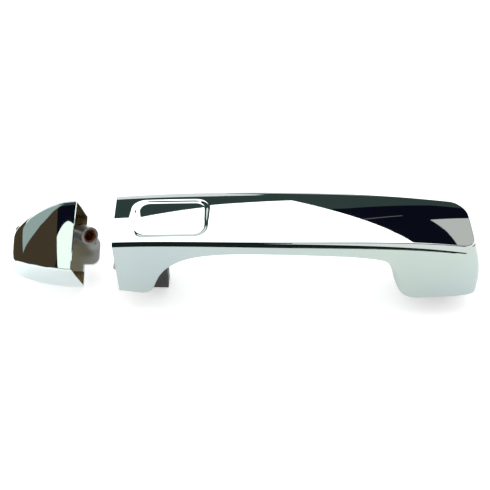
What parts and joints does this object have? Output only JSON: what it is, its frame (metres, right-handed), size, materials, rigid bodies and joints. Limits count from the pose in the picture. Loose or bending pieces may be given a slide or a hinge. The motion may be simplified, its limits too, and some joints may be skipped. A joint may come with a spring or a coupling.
{
  "type": "car door handle",
  "caption": "Plated exterior pull handle for a car door: a hinged grip with a shallow pocket and two feet, and its loose teardrop end cap.",
  "frame": {"origin": "middle of the hinge pin, on the grip's pivot axis", "axes": "+X from the grip's pulled end towards its hinged end, the car's forward direction; +Z out of the door skin; +Y across the grip, along the hinge pin"},
  "size_m": [0.2817, 0.0579, 0.0612],
  "materials": {
    "chrome_cover": "mirror bright plating over ABS",
    "chrome_base": "bright plating over ABS",
    "chrome_cap": "mirror bright plating over ABS",
    "black_rubber": "matt",
    "black_nylon": "glass-filled nylon, slightly rough",
    "pale_nylon": "smooth acetal",
    "grey_nylon": "smooth",
    "bright_steel": "turned and zinc plated",
    "spring_steel": "phosphated",
    "zinc_screws": "zinc plated",
    "cast_zinc": "die-cast, plated",
    "copper_bronze": "threaded"
  },
  "bodies": {
    "door_side": {"hinge_pin": "bright_steel", "pin_clips": "spring_steel"},
    "grip": {"outer_cover": "chrome_cover", "pocket_tray": "chrome_cover", "grip_base": "chrome_base", "seam_seal": "black_rubber", "core_beam": "black_nylon", "rattle_pads": "black_rubber", "pull_leg": "black_nylon", "leg_shoe": "pale_nylon", "hinge_arm": "black_nylon", "hinge_bushes": "pale_nylon", "cover_screws": "zinc_screws", "end_tongue": "grey_nylon"},
    "cap_axis": {"cap_screw": "zinc_screws", "cap_screw_nut": "zinc_screws"},
    "cap": {"cap_shell": "chrome_cap", "retainer": "cast_zinc", "thread_insert": "copper_bronze", "retainer_rivets": "bright_steel"}
  },
  "joints": [
    {"name": "grip_pull", "type": "hinge", "parent": "door_side", "child": "grip", "pos_m": [0, 0, 0], "axis": [0, 1, 0], "range_deg": [0, 5.5]},
    {"name": "cap_offer", "type": "slide", "parent": "door_side", "child": "cap_axis", "axis": [1, 0, 0], "range_m": [0, 0.0219]},
    {"name": "cap_roll", "type": "hinge", "parent": "cap_axis", "child": "cap", "pos_m": [-0.2301, 0.008, 0.0269], "axis": [1, 0, 0], "range_deg": [-31.8, 0]}
  ],
  "couplings": [
    {"joint": "cap_roll", "follows": "cap_offer", "rad_per_m": -25.024}
  ]
}
